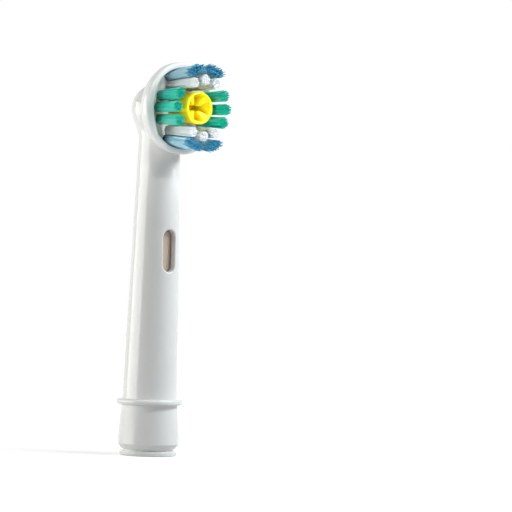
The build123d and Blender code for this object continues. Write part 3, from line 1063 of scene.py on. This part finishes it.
# Studio: a pale floor and white surroundings, with a large soft box on either side of the neck and
# two narrow ones that face the brush. The camera stands where the photograph was taken from.
floor_half = 0.6
floor_mesh = bpy.data.meshes.new("studio_floor")
floor_corners = [(x * floor_half, y * floor_half, 0) for x, y in ((-1, -1), (1, -1), (1, 1), (-1, 1))]
floor_mesh.from_pydata(floor_corners, [], [(0, 1, 2, 3)])
floor = bpy.data.objects.new("studio_floor", floor_mesh)
bpy.context.scene.collection.objects.link(floor)


def seen_directly(tree):
    """One for camera, gloss and clear rays, and zero for the light that falls on the object."""
    ray = Wire.node(tree, "ShaderNodeLightPath", {}, {}, "Is Camera Ray")
    seen = ray.maths("MAXIMUM", ray, ray.other("Is Glossy Ray"))
    return ray.maths("MAXIMUM", seen, ray.other("Is Transmission Ray"))


def pale_floor(name):
    """Pale matte floor that shows the shadow near the object and fades to white further off."""
    fade_start = 0.08
    fade_end = 0.45
    material, tree, shader = finish_material(name, {
        "Base Color": (0.55, 0.55, 0.55, 1),
        "Roughness": 0.9,
        "Emission Strength": 1.0,
    })
    place = Wire.node(tree, "ShaderNodeTexCoord", {}, {}, "Object")
    reach = Wire.node(tree, "ShaderNodeVectorMath", {"operation": "LENGTH"}, {0: place}, "Value")
    lift = Wire.node(
        tree,
        "ShaderNodeMapRange",
        {},
        {"Value": reach, "From Min": fade_start, "From Max": fade_end, "To Min": 0.6, "To Max": 1.0},
    )
    tree.links.new((seen_directly(tree) * lift).socket, shader.inputs["Emission Color"])
    return material


floor_mesh.materials.append(pale_floor("pale_floor"))

scene = bpy.context.scene
scene.world = bpy.data.worlds.new("studio_surroundings")
scene.world.use_nodes = True
surroundings = scene.world.node_tree
ambient = 0.11
glow = surroundings.nodes["Background"]
glow.inputs["Color"].default_value = (1, 1, 1, 1)
surroundings.links.new(
    (seen_directly(surroundings) * (1 - ambient) + ambient).socket, glow.inputs["Strength"]
)


def soft_box(name, middle, azimuth, elevation, distance, width, height, strength, colour, spread=180):
    """Area light that faces a point on the object from a side given in degrees."""
    light = bpy.data.lights.new(name, "AREA")
    light.shape = "RECTANGLE"
    light.size = width
    light.size_y = height
    light.energy = strength
    light.color = colour
    light.spread = radians(spread)
    lamp = bpy.data.objects.new(name, light)
    turn, rise = radians(azimuth), radians(elevation)
    aim = Vector((sin(turn) * cos(rise), -cos(turn) * cos(rise), sin(rise)))
    lamp.location = middle + aim * distance
    lamp.rotation_euler = aim.to_track_quat("Z", "Y").to_euler()
    bpy.context.scene.collection.objects.link(lamp)


camera_azimuth = -38.29
neck_middle = Vector((0, 0, 0.035))
tuft_middle = Vector((0, -0.014, head_z + 0.001))
rim_middle = Vector((0, -0.013, head_z - 0.002))
brush_box_distance = 0.16
brush_box_side = 0.014
brush_box_spread = 6
soft_box(
    "left_soft_box", neck_middle, camera_azimuth - 86, 9,
    distance=0.3, width=0.34, height=0.18, strength=0.77, colour=(1, 1, 0.97),
)
soft_box(
    "right_soft_box", neck_middle, camera_azimuth + 80, 38,
    distance=0.35, width=0.24, height=0.09, strength=1.18, colour=(0.93, 0.98, 1),
)
for name, middle, azimuth, elevation, strength in (
    ("head_soft_box", tuft_middle, camera_azimuth + 34, 28, 0.0004),
    ("tuft_soft_box", rim_middle, camera_azimuth - 20, -14, 0.00036),
):
    soft_box(
        name, middle, azimuth, elevation, brush_box_distance,
        brush_box_side, brush_box_side, strength, (1, 1, 1), brush_box_spread,
    )

camera_distance = 0.6
camera_height = 0.0401
camera_turn, camera_tilt, camera_roll = 1.852, 0.144, -1.85
camera_focal = 3147.2
sensor_width = 36
image_width = 512
swing = radians(camera_azimuth)
camera_axes = Matrix((
    (cos(swing), 0, sin(swing)),
    (sin(swing), 0, -cos(swing)),
    (0, 1, 0),
))
turning = Matrix.Rotation(radians(camera_roll), 3, "Z")
turning = turning @ Matrix.Rotation(radians(camera_tilt), 3, "X")
turning = turning @ Matrix.Rotation(radians(camera_turn), 3, "Y")
camera = bpy.data.objects.new("photo_camera", bpy.data.cameras.new("photo_camera"))
camera.data.sensor_width = sensor_width
camera.data.lens = camera_focal * sensor_width / image_width
camera.data.clip_start = 0.01
camera_place = Vector((sin(swing) * camera_distance, -cos(swing) * camera_distance, camera_height))
camera.matrix_world = Matrix.Translation(camera_place) @ (camera_axes @ turning.transposed()).to_4x4()
scene.collection.objects.link(camera)
scene.camera = camera
scene.view_settings.view_transform = "Standard"
